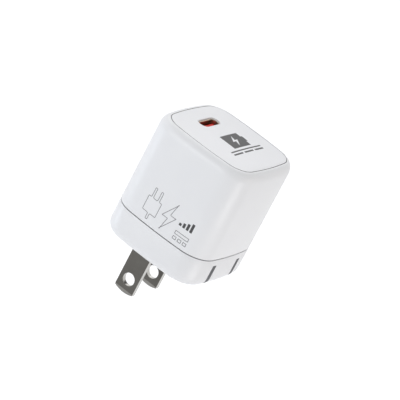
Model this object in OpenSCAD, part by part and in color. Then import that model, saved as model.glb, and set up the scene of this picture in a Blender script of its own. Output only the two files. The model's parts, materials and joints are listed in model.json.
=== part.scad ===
// Compact USB-C wall charger with a folding two-blade plug.
// The origin is the middle of the face that meets the outlet, +Z runs out of the wall towards
// the port, the blades point along -Z and fold towards +X. All sizes are in millimetres.

/* [Body] */
// Width of the body, along the direction in which the blades fold
body_w = 33.2; // [32.6:0.1:40]
// Depth of the body, along the plug's hinge
body_d = 33; // [32.6:0.1:40]
// Height of the body up to the edge of its top plate
body_h = 37.45; // [37:0.05:46]
// Radius of the upright corners
corner_r = 7.6; // [6.4:0.1:9]
// How far each side bows out at its middle
side_crown = 0.37; // [0.05:0.01:0.8]
// Thickness of the moulded walls
wall = 1.6; // [1.2:0.1:1.9]
// Height of the seam between the base cap and the housing
base_h = 9.3; // [8.7:0.1:9.9]
// Radius of the rounded edge under the base cap
base_edge_r = 2.84; // [1:0.01:3.2]
// Width of the rounded edge around the top plate, seen from above
top_edge_w = 2.05; // [1.4:0.05:2.6]
// Height of the rounded edge around the top plate
top_edge_h = 3.07; // [1.5:0.01:4]
// Width of the flat land between that edge and the plate
top_land = 0.08; // [0.05:0.01:0.3]

/* [Top plate] */
// Thickness of the plate at its edge
plate_t = 1.5; // [1.2:0.1:2]
// How far the plate's middle stands above its edge
plate_rise = 0.65; // [0.1:0.05:1.2]
// Gap between the plate and the housing
plate_gap = 0.1; // [0.05:0.01:0.2]
// Width of the ledge that carries the plate
ledge_w = 1.35; // [1:0.05:2]
// Thickness of that ledge
ledge_t = 1.35; // [1:0.05:1.6]
// Width of each snap hook
hook_w = 4; // [2:0.5:6]
// Thickness of each snap hook
hook_t = 0.9; // [0.6:0.1:1.2]
// How far a hook's barb reaches under the ledge
hook_catch = 0.5; // [0.3:0.1:0.8]

/* [Port] */
// Place of the port across the body, from its middle
port_x = -7.5; // [-8:0.1:-7]
// Long side of the receptacle's metal shell
shell_l = 8.94; // [8.9:0.01:8.98]
// Short side of the receptacle's metal shell
shell_w = 3.16; // [3.1:0.01:3.2]
// Gap between the shell and the plate's opening at each end
port_gap_l = 0.08; // [0.05:0.01:0.3]
// Gap between the shell and the plate's opening at each side
port_gap_w = 0.12; // [0.05:0.01:0.3]
// Thickness of the shell's metal
shell_t = 0.3; // [0.2:0.05:0.35]
// Length of the shell
shell_h = 7.35; // [6.8:0.05:8]
// Depth of the receptacle's mouth below the edge of the plate
mouth_drop = 0.1; // [0:0.05:0.5]
// Depth of the receptacle's cavity
cavity_h = 6.2; // [5.8:0.1:6.4]
// Length of the tongue
tongue_h = 5.4; // [5:0.05:5.9]
// Width of the tongue
tongue_l = 6.69; // [6.2:0.01:7]
// Thickness of the tongue
tongue_t = 0.7; // [0.6:0.05:0.8]

/* [Plug] */
// Place of the hinge across the body, from its middle
pivot_x = -4.1; // [-4.6:0.1:-3.6]
// Height of the hinge above the outlet face
pivot_z = 3.8; // [3.7:0.1:3.9]
// Width of a blade
blade_w = 6.35; // [6.2:0.05:6.5]
// Thickness of a blade
blade_t = 1.52; // [1.4:0.01:1.6]
// Distance between the middles of the two blades
blade_pitch = 12.7; // [12.4:0.1:13]
// Length of a blade below the outlet face
blade_l = 16.25; // [14:0.05:17]
// How far the rounded tip falls away at its corners
tip_sag = 0.8; // [0.5:0.05:1.6]
// Height of the bevel across the tip
tip_bevel = 1.2; // [0.3:0.1:1.4]
// Depth of that bevel into the blade's thickness
tip_bevel_t = 0.4; // [0.1:0.05:0.6]
// Radius of the hole through a blade
hole_r = 1.9; // [1.5:0.05:2]
// Distance from the hole's middle to the tip
hole_from_tip = 4.45; // [3.6:0.05:5]
// Radius of the rotor
rotor_r = 2; // [1.9:0.05:2.1]
// Side of the rotor's square necks
neck_w = 2.6; // [2.2:0.1:2.6]
// Length of the rotor
rotor_l = 18.4; // [17.4:0.1:18.6]
// Gap between a blade and the sides of its slot
slot_gap = 0.24; // [0.2:0.01:0.35]
// Gap between a folded blade and the top of its slot
fold_gap = 0.325; // [0.2:0.005:0.4]

/* [Contact springs] */
// Thickness of the spring strip
spring_t = 0.25; // [0.15:0.05:0.3]
// Width of the spring strip
spring_w = 1.2; // [0.8:0.1:1.3]
// Gap between a spring and the blade root under it
spring_gap = 0.2; // [0.15:0.05:0.3]

/* [Boards] */
// Gap between the base cap's lip and the main board above it
board_lift = 0.7; // [0.5:0.1:1.3]
// Thickness of the main board
board_t = 1.2; // [1:0.1:1.6]
// Gap between the main board and the housing
board_gap = 0.7; // [0.4:0.1:1]
// Thickness of the secondary board
second_t = 1; // [0.8:0.1:1.2]
// Width of the secondary board
second_w = 23; // [16:0.5:24]
// How far the secondary board reaches up beside the receptacle
second_reach = 3.5; // [3.15:0.05:4.2]

/* [Transformer] */
// Place of the transformer across the body, from its middle
trans_x = -0.2; // [-0.4:0.1:0]
// Length of the core, along the hinge
core_l = 15.2; // [14.6:0.1:15.4]
// Width of the core
core_w = 9; // [8:0.1:9]
// Height of the two core halves together
core_h = 12; // [11:0.1:12.4]
// Thickness of the core's back and outer legs
core_leg = 1.8; // [1.6:0.1:2]
// Radius of the core's middle leg
core_mid_r = 2.6; // [2.2:0.1:2.7]

/* [Capacitors] */
// Radius of a bulk capacitor
bulk_r = 4; // [3:0.1:4]
// Height of a bulk capacitor
bulk_h = 16; // [12:0.5:18]
// Radius of an output capacitor
output_r = 3.15; // [2.5:0.05:3.15]
// Height of an output capacitor
output_h = 8; // [6:0.5:8]
// Radius of the safety capacitor's disc
disc_r = 3.5; // [2.5:0.1:4]
// Thickness of the safety capacitor's disc
disc_t = 3; // [2:0.1:3]

/* [Choke and fuse] */
// Outer radius of the choke's ring core
choke_r = 4.2; // [3.6:0.1:4.2]
// Width of the choke's ring core
choke_w = 3; // [2.4:0.1:3]
// Thickness of the wire layer on the choke
choke_wire = 0.35; // [0.2:0.05:0.4]
// Radius of the fuse
fuse_r = 1.8; // [1.2:0.1:1.8]
// Height of the fuse
fuse_h = 10; // [7:0.5:12]

/* [Hidden] */
$fn = 48;
corner_steps = 8;
side_steps = 4;
edge_steps = 6;
dome_steps = 5;
over = 1;
bite = 0.4;
fit_gap = 0.02;

// Body
seat_z = body_h - plate_t;
ledge_in = top_edge_w + ledge_w;
ledge_z = seat_z - ledge_t;
floor_t = 1.6;
lip_gap = 0.1;
lip_t = 0.8;
lip_h = 2;
lip_out = wall + lip_gap;
lip_in = lip_out + lip_t;
inner_x = body_w / 2 - wall;
inner_y = body_d / 2 - wall;
rib_w = 1.2;
rib_reach = 1.8;
rib_y = 4.6;
rib_h = 9;

// Plug
blade_y = blade_pitch / 2;
tip_r = (blade_w * blade_w / 4 + tip_sag * tip_sag) / (2 * tip_sag);
tip_z = tip_r - blade_l;
hole_z = hole_from_tip - blade_l;
slot_w = blade_t + 2 * slot_gap;
slot_top = pivot_z + blade_w / 2 + fold_gap;
root_gap = 0.25;
slot_x = pivot_x - blade_w / 2 - root_gap;
bore_gap = 0.06;
bore_r = rotor_r + bore_gap;
thrust_gap = 0.1;
bore_l = rotor_l + 2 * thrust_gap;
pocket_t = 0.8;
pocket_top = slot_top + pocket_t;
block_x0 = slot_x - pocket_t;
block_x1 = pivot_x + blade_w / 2 + root_gap + bite;
block_y = bore_l / 2 + pocket_t;
keeper_gap = 0.1;
keeper_over = 0.6;
keeper_top = pocket_top + keeper_over;
window_gap = 0.2;
window_w = spring_w + 2 * window_gap;
window_l = 2.7;
window_x = pivot_x - window_l;
leaf_half = 2.2;
leaf_rise = 0.55;

// Screws that hold the retainer
screw_r = 0.65;
screw_head_h = 0.7;
screw_hole_r = 0.9;
screw_l = 4.4;
post_r = 1.5;
ear_r = 1.7;
ear_t = 1.6;
ear_z = 5;
post_sink = 0.3;
screw_y = block_y + post_r - post_sink;
head_gap = 0.1;
screw_head_r = post_r - post_sink - head_gap;

// Boards and what stands on them
board_z = base_h + lip_h + board_lift;
board_top = board_z + board_t;
board_w = body_w - 2 * (wall + board_gap);
board_d = body_d - 2 * (wall + board_gap);
board_post_r = 1.6;
board_post_in = 6.4;
post_x = body_w / 2 - board_post_in;
post_y = body_d / 2 - board_post_in;
second_x = port_x - shell_w / 2;
tab_w = 3;
tab_y = 5;
tab_drop = 1.6;

// Port
mouth_z = body_h - mouth_drop;
shell_z = mouth_z - shell_h;
port_l = shell_l + 2 * port_gap_l;
port_w = shell_w + 2 * port_gap_w;
second_h = shell_z + second_reach - board_top;
tongue_z = mouth_z - cavity_h;
collar_t = 0.8;
collar_h = 1.6;
contact_n = 12;
contact_pitch = 0.5;
contact_w = 0.25;
contact_t = 0.08;
contact_back = 0.85;
contact_h = tongue_h - contact_back;

// Transformer
bobbin_base_t = 1;
core_z = board_top + bobbin_base_t;
core_top = core_z + core_h;
bobbin_gap = 0.1;
bobbin_t = 0.6;
bobbin_r = core_l / 2 - core_leg - bobbin_gap * 2;
winding_z = core_z + core_leg + bobbin_gap + bobbin_t;
winding_h = core_h - 2 * (core_leg + bobbin_gap + bobbin_t);
tube_r = core_mid_r + bobbin_gap + bobbin_t;
tape_t = 0.15;
layer_gap = 0.05;
layer_t = (bobbin_r - tube_r - tape_t - 4 * layer_gap) / 2;
layer_h = winding_h - 2 * layer_gap;
primary_in = tube_r + layer_gap;
primary_out = primary_in + layer_t;
secondary_in = primary_out + layer_gap;
secondary_out = secondary_in + layer_t;
tape_in = secondary_out + layer_gap;
side_wall_t = 0.8;
side_wall_w = 7;
side_wall_x = core_w / 2 + bobbin_gap;

// Thermal parts
pad_t = 0.8;
pad_w = 8;
pad_l = 12;
spreader_t = 0.5;
spreader_leg_h = 4.5;
sheet_t = 0.25;
sheet_w = 24;
sheet_h = 15;
sheet_gap = 0.25;

// Places on the main board, and gaps to the walls
bulk_gap_x = 1.1;
bulk_gap_y = 1.5;
bulk_x = inner_x - bulk_r - bulk_gap_x;
bulk_y = inner_y - bulk_r - bulk_gap_y;
output_gap = 0.55;
output_x = [trans_x - 5, trans_x + 1.6];
output_y = output_gap + output_r - inner_y;
disc_gap = 1.7;
disc_x = trans_x - 1.3;
disc_y = inner_y - disc_t / 2 - disc_gap;
lead_r = 0.3;
lead_x = 2.4;
fuse_gap = 0.9;
fuse_cap_h = 2;
fuse_cap_t = 0.08;
fuse_x = inner_x - fuse_r - fuse_gap;
choke_in_r = 2.4;
choke_gap = 0.3;
choke_x = fuse_x - fuse_r - fuse_cap_t - choke_gap - choke_wire - choke_w / 2;
foot_l = 1.2;
foot_gap = 0.7;
riser_x = bulk_x - foot_gap - foot_l;

// Points along an arc, without its last point
function arc(c, r, a0, a1, n) = [
    for (i = [0:n - 1]) let (a = a0 + (a1 - a0) * i / n) c + r * [cos(a), sin(a)]
];

// The body's outline at a distance inside its walls. Every such outline has its corner arcs on the
// same centres, and each side is a shallow arc that is tangent to the corners at its two ends.
function outline(inset) = let (
    r = corner_r - inset,
    a = body_w / 2 - corner_r - side_crown,
    b = body_d / 2 - corner_r - side_crown,
    rx = (b * b + side_crown * side_crown) / (2 * side_crown),
    ry = (a * a + side_crown * side_crown) / (2 * side_crown),
    tx = asin(b / rx),
    ty = asin(a / ry),
    cx = a + side_crown - rx,
    cy = b + side_crown - ry
) concat(
    arc([cx, 0], rx + r, -tx, tx, side_steps),
    arc([a, b], r, tx, 90 - ty, corner_steps),
    arc([0, cy], ry + r, 90 - ty, 90 + ty, side_steps),
    arc([-a, b], r, 90 + ty, 180 - tx, corner_steps),
    arc([-cx, 0], rx + r, 180 - tx, 180 + tx, side_steps),
    arc([-a, -b], r, 180 + tx, 270 - ty, corner_steps),
    arc([0, -cy], ry + r, 270 - ty, 270 + ty, side_steps),
    arc([a, -b], r, 270 + ty, 360 - tx, corner_steps)
);

// Solid through a stack of levels, each an inset and a height, and a share of the outline's size
module stack(levels) {
    n = len(outline(0));
    top = (len(levels) - 1) * n;
    points = [
        for (v = levels) let (share = len(v) > 2 ? v[2] : 1)
            each [for (p = outline(v[0])) [p[0] * share, p[1] * share, v[1]]]
    ];
    faces = concat(
        [[for (i = [0:n - 1]) i]],
        [for (k = [0:n:top - n], i = [0:n - 1]) let (j = (i + 1) % n)
            [k + i, k + n + i, k + n + j, k + j]],
        [[for (i = [n - 1:-1:0]) top + i]]
    );
    polyhedron(points, faces);
}

// Two mirrored copies, in front and behind
module both_y() {
    children();
    mirror([0, 1, 0]) children();
}

// Flat shape with round ends, its long side along Y
module stadium(l, w) {
    square([w, l - w], center = true);
    both_y() translate([0, (l - w) / 2]) intersection() {
        circle(d = w);
        translate([-w, 0]) square(2 * w);
    }
}

// Box given by two opposite corners
module box(a, b) {
    translate(a) cube(b - a);
}

// Cylinder along Y, centred on the hinge
module hinge_cylinder(r, l) {
    translate([pivot_x, 0, pivot_z]) rotate([90, 0, 0]) cylinder(r = r, h = l, center = true);
}

// Strip of one thickness that follows a list of points
function unit(v) = v / norm(v);
function side_of(path, i) = let (
    before = unit(path[max(i, 1)] - path[max(i, 1) - 1]),
    after = unit(path[min(i, len(path) - 2) + 1] - path[min(i, len(path) - 2)]),
    mean = unit(before + after)
) [-mean[1], mean[0]] / (mean * before);

module strip(path, t) {
    last = len(path) - 1;
    polygon(concat(
        [for (i = [0:last]) path[i] + side_of(path, i) * t / 2],
        [for (i = [last:-1:0]) path[i] - side_of(path, i) * t / 2]
    ));
}

// Body ------------------------------------------------------------------------------------------

module housing() {
    edge = top_edge_w - top_land;
    color("whitesmoke") {
        difference() {
            stack(concat(
                [[0, base_h]],
                [for (i = [0:edge_steps]) let (a = 90 * i / edge_steps)
                    [edge * (1 - cos(a)), body_h - top_edge_h * (1 - sin(a))]]
            ));
            stack([
                [wall, base_h - over], [wall, ledge_z],
                [ledge_in, ledge_z], [ledge_in, seat_z],
                [top_edge_w, seat_z], [top_edge_w, body_h + over]
            ]);
        }
        for (x = [-1, 1], y = [-1, 1]) hold_down_rib(x, y);
    }
}

// Rib on a side wall that holds the main board on its posts
module hold_down_rib(x, y) {
    translate([x * (inner_x + (bite - rib_reach) / 2), y * rib_y, board_top + rib_h / 2])
        cube([rib_reach + bite, rib_w, rib_h], center = true);
}

module top_plate() {
    edge = top_edge_w + plate_gap;
    color("white") {
        difference() {
            union() {
                stack(concat(
                    [[edge, seat_z]],
                    [for (i = [0:dome_steps]) let (share = 1 - i / (dome_steps + 1))
                        [edge, body_h + plate_rise * (1 - share * share), share]]
                ));
                translate([port_x, 0, seat_z - collar_h])
                    linear_extrude(collar_h + bite) stadium(port_l + 2 * collar_t, port_w + 2 * collar_t);
            }
            translate([port_x, 0, seat_z - collar_h - over])
                linear_extrude(plate_t + collar_h + plate_rise + 2 * over) stadium(port_l, port_w);
            box([port_x - port_w, -port_l, seat_z - collar_h - over], [second_x, port_l, seat_z]);
        }
        for (a = [0, 180]) rotate(a) snap_hook(body_w / 2 - ledge_in - plate_gap);
        for (a = [90, 270]) rotate(a) snap_hook(body_d / 2 - ledge_in - plate_gap);
    }
}

// Hook that reaches down inside the ledge, with a barb under it
module snap_hook(x) {
    barb_h = 0.9;
    translate([0, hook_w / 2, 0]) rotate([90, 0, 0]) linear_extrude(hook_w) polygon([
        [x - hook_t, seat_z + bite],
        [x - hook_t, ledge_z - barb_h],
        [x, ledge_z - barb_h],
        [x + plate_gap + hook_catch, ledge_z - plate_gap],
        [x, ledge_z - plate_gap],
        [x, seat_z + bite]
    ]);
}

module base_cap() {
    color("white") difference() {
        union() {
            difference() {
                stack(concat(
                    [for (i = [0:edge_steps]) let (a = 90 * i / edge_steps)
                        [base_edge_r * (1 - sin(a)), base_edge_r * (1 - cos(a))]],
                    [[0, base_h], [lip_out, base_h], [lip_out, base_h + lip_h]]
                ));
                stack([
                    [base_edge_r, floor_t], [wall, base_edge_r],
                    [wall, base_h - lip_in], [lip_in, base_h - lip_t],
                    [lip_in, base_h + lip_h + over]
                ]);
            }
            box([block_x0, -block_y, floor_t - bite], [block_x1, block_y, pivot_z]);
            both_y() {
                box(
                    [block_x1 - bite, blade_y - slot_w / 2 - pocket_t, floor_t - bite],
                    [inner_x + bite, blade_y + slot_w / 2 + pocket_t, pocket_top]
                );
                translate([pivot_x, screw_y, floor_t - bite])
                    cylinder(r = post_r, h = ear_z - floor_t + bite);
            }
            for (x = [-post_x, post_x], y = [-post_y, post_y])
                translate([x, y, floor_t - bite])
                    cylinder(r = board_post_r, h = board_z - floor_t + bite);
        }
        box([block_x0 - over, -block_y - over, pivot_z], [block_x1, block_y, pocket_top + over]);
        blade_slots();
        hinge_cylinder(bore_r, bore_l);
        both_y() translate([pivot_x, screw_y, ear_z + ear_t - screw_l - thrust_gap])
            cylinder(r = screw_r + fit_gap, h = screw_l + over);
    }
}

// The two slots that the blades turn and lie in, open below and at the right-hand side
module blade_slots() {
    both_y() box(
        [slot_x, blade_y - slot_w / 2, -over],
        [body_w / 2 + over, blade_y + slot_w / 2, slot_top]
    );
}

// Plug ------------------------------------------------------------------------------------------

module blade(y) {
    color("dimgray") difference() {
        translate([pivot_x, y, 0]) intersection() {
            rotate([90, 0, 0]) linear_extrude(blade_t + 2 * over, center = true) blade_outline();
            rotate([90, 0, 90]) linear_extrude(blade_w + 2 * over, center = true) blade_section();
        }
        translate([pivot_x, y, hole_z]) rotate([90, 0, 0])
            cylinder(r = hole_r, h = blade_t + 2 * over, center = true);
        translate([pivot_x, y, pivot_z])
            cube([neck_w + 2 * fit_gap, blade_t + 2 * over, neck_w + 2 * fit_gap], center = true);
    }
}

// The blade seen from its flat side, with a round root and a slightly rounded tip
module blade_outline() {
    translate([-blade_w / 2, tip_z]) square([blade_w, pivot_z - tip_z]);
    translate([0, pivot_z]) circle(d = blade_w);
    intersection() {
        translate([0, tip_z]) circle(r = tip_r);
        translate([-blade_w / 2, -blade_l - over]) square([blade_w, tip_r + over + bite]);
    }
}

// The blade seen from its edge, thinner over the bevel
module blade_section() {
    half = blade_t / 2;
    thin = half - tip_bevel_t;
    bevel_z = tip_bevel - blade_l;
    top = pivot_z + blade_w / 2 + over;
    polygon([[-half, top], [-half, bevel_z], [-thin, -blade_l], [thin, -blade_l], [half, bevel_z], [half, top]]);
}

module plug_blade_front() {
    blade(-blade_y);
}

module plug_blade_rear() {
    blade(blade_y);
}

module blade_rotor() {
    inner_l = blade_pitch - blade_t;
    outer_y = blade_y + blade_t / 2;
    color("gainsboro") {
        hinge_cylinder(rotor_r, inner_l);
        both_y() {
            translate([pivot_x, blade_y, pivot_z])
                cube([neck_w, blade_t + 2 * fit_gap, neck_w], center = true);
            translate([pivot_x, rotor_l / 2, pivot_z]) rotate([90, 0, 0])
                cylinder(r = rotor_r, h = rotor_l / 2 - outer_y);
        }
    }
}

module rotor_retainer() {
    color("lightgray") difference() {
        union() {
            box([block_x0, -block_y, pivot_z], [block_x1 - keeper_gap, block_y, keeper_top]);
            both_y() {
                translate([pivot_x, screw_y, ear_z]) cylinder(r = ear_r, h = ear_t);
                box([pivot_x - ear_r, block_y - bite, ear_z], [pivot_x + ear_r, screw_y, ear_z + ear_t]);
            }
        }
        blade_slots();
        hinge_cylinder(bore_r, bore_l);
        both_y() {
            box(
                [window_x, blade_y - window_w / 2, slot_top - over],
                [block_x1 + over, blade_y + window_w / 2, keeper_top + over]
            );
            translate([pivot_x, screw_y, ear_z - over]) cylinder(r = screw_hole_r, h = ear_t + 2 * over);
        }
    }
}

module retainer_screws() {
    recess_l = 1.6;
    recess_w = 0.4;
    recess_h = 0.4;
    color("silver") both_y() translate([pivot_x, screw_y, ear_z + ear_t]) difference() {
        union() {
            cylinder(r = screw_head_r, h = screw_head_h);
            translate([0, 0, -screw_l]) cylinder(r = screw_r, h = screw_l + bite);
        }
        for (a = [0, 90]) rotate(a) translate([0, 0, screw_head_h])
            cube([recess_l, recess_w, 2 * recess_h], center = true);
    }
}

// Leaf that bears down on a blade's root, runs over the slot's roof and rises to the main board
module contact_spring(y) {
    leaf_z = pivot_z + blade_w / 2 + spring_gap + spring_t / 2;
    run_z = pocket_top + spring_t / 2 + fit_gap;
    foot_z = board_z - spring_t / 2;
    color("goldenrod") translate([0, y + spring_w / 2, 0]) rotate([90, 0, 0]) linear_extrude(spring_w)
        strip([
            [pivot_x - leaf_half, leaf_z + leaf_rise],
            [pivot_x, leaf_z],
            [pivot_x + leaf_half, leaf_z + leaf_rise],
            [block_x1 - bite, run_z],
            [riser_x, run_z],
            [riser_x, foot_z],
            [riser_x + foot_l, foot_z]
        ], spring_t);
}

module contact_spring_front() {
    contact_spring(-blade_y);
}

module contact_spring_rear() {
    contact_spring(blade_y);
}

// Port ------------------------------------------------------------------------------------------

module usb_shell() {
    color("silver") translate([port_x, 0, shell_z]) linear_extrude(shell_h) difference() {
        stadium(shell_l, shell_w);
        stadium(shell_l - 2 * shell_t, shell_w - 2 * shell_t);
    }
}

module usb_insulator() {
    inside = 2 * (shell_t + fit_gap);
    color("black") translate([port_x, 0, shell_z])
        linear_extrude(tongue_z - shell_z) stadium(shell_l - inside, shell_w - inside);
}

module usb_tongue() {
    color("orangered") translate([port_x - tongue_t / 2, -tongue_l / 2, tongue_z])
        cube([tongue_t, tongue_l, tongue_h]);
}

module usb_contacts() {
    color("gold") for (side = [-1, 1], i = [0:contact_n - 1])
        translate([
            port_x + side * (tongue_t + contact_t) / 2,
            (i - (contact_n - 1) / 2) * contact_pitch,
            tongue_z + contact_h / 2
        ]) cube([contact_t, contact_w, contact_h], center = true);
}

// Boards ----------------------------------------------------------------------------------------

module main_board() {
    r = corner_r - wall;
    color("seagreen") translate([0, 0, board_z]) difference() {
        linear_extrude(board_t) {
            square([board_w - 2 * r, board_d], center = true);
            square([board_w, board_d - 2 * r], center = true);
            for (x = [-1, 1], y = [-1, 1])
                translate([x * (board_w / 2 - r), y * (board_d / 2 - r)]) circle(r = r);
        }
        both_y() translate([second_x - second_t / 2, tab_y, board_t / 2])
            cube([second_t + 2 * fit_gap, tab_w + 2 * fit_gap, board_t + 2 * over], center = true);
    }
}

module secondary_board() {
    color("seagreen") translate([second_x - second_t, 0, board_top]) {
        translate([0, -second_w / 2, 0]) cube([second_t, second_w, second_h]);
        both_y() translate([0, tab_y - tab_w / 2, -tab_drop]) cube([second_t, tab_w, tab_drop + bite]);
    }
}

// Transformer -----------------------------------------------------------------------------------

// One half of the core, standing on its back
module core_half() {
    leg_h = core_h / 2;
    translate([-core_w / 2, -core_l / 2, 0]) cube([core_w, core_l, core_leg]);
    both_y() translate([-core_w / 2, core_l / 2 - core_leg, 0]) cube([core_w, core_leg, leg_h]);
    cylinder(r = core_mid_r, h = leg_h);
}

module transformer_core_lower() {
    color("darkslategray") translate([trans_x, 0, core_z]) core_half();
}

module transformer_core_upper() {
    color("darkslategray") translate([trans_x, 0, core_top]) mirror([0, 0, 1]) core_half();
}

module transformer_bobbin() {
    flange_z = core_z + core_leg + bobbin_gap;
    height = core_h - 2 * (core_leg + bobbin_gap);
    color("darkolivegreen") translate([trans_x, 0, 0]) {
        translate([0, 0, flange_z]) rotate_extrude() polygon([
            [core_mid_r + bobbin_gap, 0], [bobbin_r, 0], [bobbin_r, bobbin_t], [tube_r, bobbin_t],
            [tube_r, height - bobbin_t], [bobbin_r, height - bobbin_t], [bobbin_r, height],
            [core_mid_r + bobbin_gap, height]
        ]);
        translate([0, 0, board_top + bobbin_base_t / 2])
            cube([2 * bobbin_r, core_l, bobbin_base_t], center = true);
        for (x = [side_wall_x, -side_wall_x - side_wall_t])
            translate([x, -side_wall_w / 2, board_top])
                cube([side_wall_t, side_wall_w, flange_z + bobbin_t - board_top]);
    }
}

// Ring on the bobbin, just clear of both flanges
module winding(inner, outer) {
    translate([trans_x, 0, winding_z + layer_gap]) difference() {
        cylinder(r = outer, h = layer_h);
        translate([0, 0, -over]) cylinder(r = inner, h = layer_h + 2 * over);
    }
}

module transformer_primary() {
    color("peru") winding(primary_in, primary_out);
}

module transformer_secondary() {
    color("chocolate") winding(secondary_in, secondary_out);
}

module transformer_tape() {
    color("gold") winding(tape_in, tape_in + tape_t);
}

// Capacitors ------------------------------------------------------------------------------------

// Aluminium can with a crimped neck near its foot and a bevelled top
module can(r, h) {
    bevel = 0.4;
    crimp = 0.35;
    crimp_z = 1.8;
    rotate_extrude() polygon([
        [0, 0], [r - bevel, 0], [r, bevel], [r, crimp_z - crimp], [r - crimp, crimp_z],
        [r, crimp_z + crimp], [r, h - bevel], [r - bevel, h], [0, h]
    ]);
}

module bulk_capacitor_1() {
    color("slategray") translate([bulk_x, -bulk_y, board_top]) can(bulk_r, bulk_h);
}

module bulk_capacitor_2() {
    color("slategray") translate([bulk_x, bulk_y, board_top]) can(bulk_r, bulk_h);
}

module output_capacitors() {
    color("lightsteelblue") for (x = output_x) translate([x, output_y, board_top]) can(output_r, output_h);
}

// Ceramic disc on edge, on two leads
module y_capacitor() {
    round_r = 0.8;
    lift = 0.8;
    half = disc_t / 2;
    color("royalblue") translate([disc_x, disc_y, board_top]) {
        translate([0, 0, lift + disc_r]) rotate([90, 0, 0]) rotate_extrude() polygon([
            [0, -half], [disc_r - round_r, -half], [disc_r, round_r - half],
            [disc_r, half - round_r], [disc_r - round_r, half], [0, half]
        ]);
        for (side = [-1, 1]) translate([side * lead_x, 0, 0]) cylinder(r = lead_r, h = lift + disc_r);
    }
}

// Choke and fuse --------------------------------------------------------------------------------

// Places a ring on edge on the main board, with room for the wire around it
module choke_place() {
    translate([choke_x, 0, board_top + choke_r + choke_wire + fit_gap]) rotate([0, 90, 0]) children();
}

// Section of the ring, grown on every side
module choke_section(grow) {
    translate([choke_in_r - grow, -choke_w / 2 - grow])
        square([choke_r - choke_in_r + 2 * grow, choke_w + 2 * grow]);
}

module choke_core() {
    color("darkgreen") choke_place() rotate_extrude() choke_section(0);
}

module choke_windings() {
    spread = 120;
    color("peru") choke_place() for (a = [0, 180])
        rotate(a - spread / 2) rotate_extrude(angle = spread) difference() {
            choke_section(choke_wire);
            choke_section(fit_gap);
        }
}

module fuse() {
    color("beige") translate([fuse_x, 0, board_top]) rotate_extrude() polygon([
        [0, 0], [fuse_r + fuse_cap_t, 0], [fuse_r + fuse_cap_t, fuse_cap_h], [fuse_r, fuse_cap_h],
        [fuse_r, fuse_h - fuse_cap_h], [fuse_r + fuse_cap_t, fuse_h - fuse_cap_h],
        [fuse_r + fuse_cap_t, fuse_h], [0, fuse_h]
    ]);
}

// Packages on the boards ------------------------------------------------------------------------

// Chip package on its lead feet: p is the middle of its seat, size its body, h its full height.
// The feet run out along Y at both ends.
module package(size, feet_n) {
    stand = 0.12;
    foot_w = 0.4;
    foot_out = 0.6;
    foot_t = 0.2;
    pitch = size[0] / (feet_n + 0.5);
    translate([0, 0, (size[2] + stand) / 2]) cube([size[0], size[1], size[2] - stand], center = true);
    both_y() for (i = [0:feet_n - 1])
        translate([(i - (feet_n - 1) / 2) * pitch, size[1] / 2 + foot_out / 2 - bite / 2, foot_t / 2])
            cube([foot_w, foot_out + bite, foot_t], center = true);
}

// Turns a package over, onto the underside of the main board
module under_board(x) {
    translate([x, 0, board_z]) mirror([0, 0, 1]) children();
}

// Turns a package onto the left-hand face of the secondary board
module on_second(y, z) {
    translate([second_x - second_t, y, board_top + z]) rotate([0, -90, 0]) children();
}

module bridge_rectifier() {
    size = [4, 4.8, 1.5];
    color("black") under_board(inner_x - size[0]) package(size, 2);
}

module power_switch() {
    size = [9.4, 8.4, 1.5];
    color("black") under_board(trans_x + 1) package(size, 8);
}

module optocoupler() {
    size = [3.6, 4.4, 2.1];
    color("black") under_board(size[0] - inner_x) package(size, 2);
}

module sync_rectifier() {
    color("black") on_second(5, 7) package([5, 4, 1.1], 4);
}

module pd_controller() {
    color("black") on_second(-5, 7) package([4, 4, 0.9], 6);
}

// Chips in a row on the secondary board, side by side
module chips(size, n, pitch, y, z) {
    for (i = [0:n - 1]) on_second(y + i * pitch, z) translate([0, 0, size[2] / 2]) cube(size, center = true);
}

module chip_resistors() {
    color("dimgray") {
        chips([1.6, 0.8, 0.45], 5, 1.8, -9, 12);
        chips([1.6, 0.8, 0.45], 4, 1.8, 1.8, 12);
    }
}

module chip_capacitors() {
    color("tan") {
        chips([2, 1.25, 1.1], 4, 2.4, -9, 15.5);
        chips([2, 1.25, 1.1], 3, 2.4, 2.2, 15.5);
    }
}

// Thermal parts ---------------------------------------------------------------------------------

module thermal_pad() {
    color("lightpink") translate([trans_x, 0, core_top + pad_t / 2])
        cube([pad_w, pad_l, pad_t], center = true);
}

module heat_spreader() {
    half_l = core_l / 2 + bobbin_gap + spreader_t;
    plate_z = core_top + pad_t;
    color("silver") translate([trans_x, 0, 0]) {
        box([-core_w / 2, -half_l, plate_z], [core_w / 2, half_l, plate_z + spreader_t]);
        both_y() box(
            [-core_w / 2, half_l - spreader_t, plate_z - spreader_leg_h],
            [core_w / 2, half_l, plate_z + spreader_t / 2]
        );
    }
}

module insulation_sheet() {
    color("khaki") translate([second_x + sheet_gap, -sheet_w / 2, board_top])
        cube([sheet_t, sheet_w, sheet_h]);
}

housing();
top_plate();
base_cap();
plug_blade_front();
plug_blade_rear();
blade_rotor();
rotor_retainer();
retainer_screws();
contact_spring_front();
contact_spring_rear();
usb_shell();
usb_tongue();
usb_contacts();
usb_insulator();
main_board();
secondary_board();
transformer_core_lower();
transformer_core_upper();
transformer_bobbin();
transformer_primary();
transformer_secondary();
transformer_tape();
bulk_capacitor_1();
bulk_capacitor_2();
output_capacitors();
y_capacitor();
fuse();
choke_core();
choke_windings();
bridge_rectifier();
power_switch();
sync_rectifier();
pd_controller();
optocoupler();
heat_spreader();
thermal_pad();
insulation_sheet();
chip_resistors();
chip_capacitors();
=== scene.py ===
import json
import math

import bmesh
import bpy
from mathutils import Matrix, Vector
from mathutils.bvhtree import BVHTree


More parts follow.
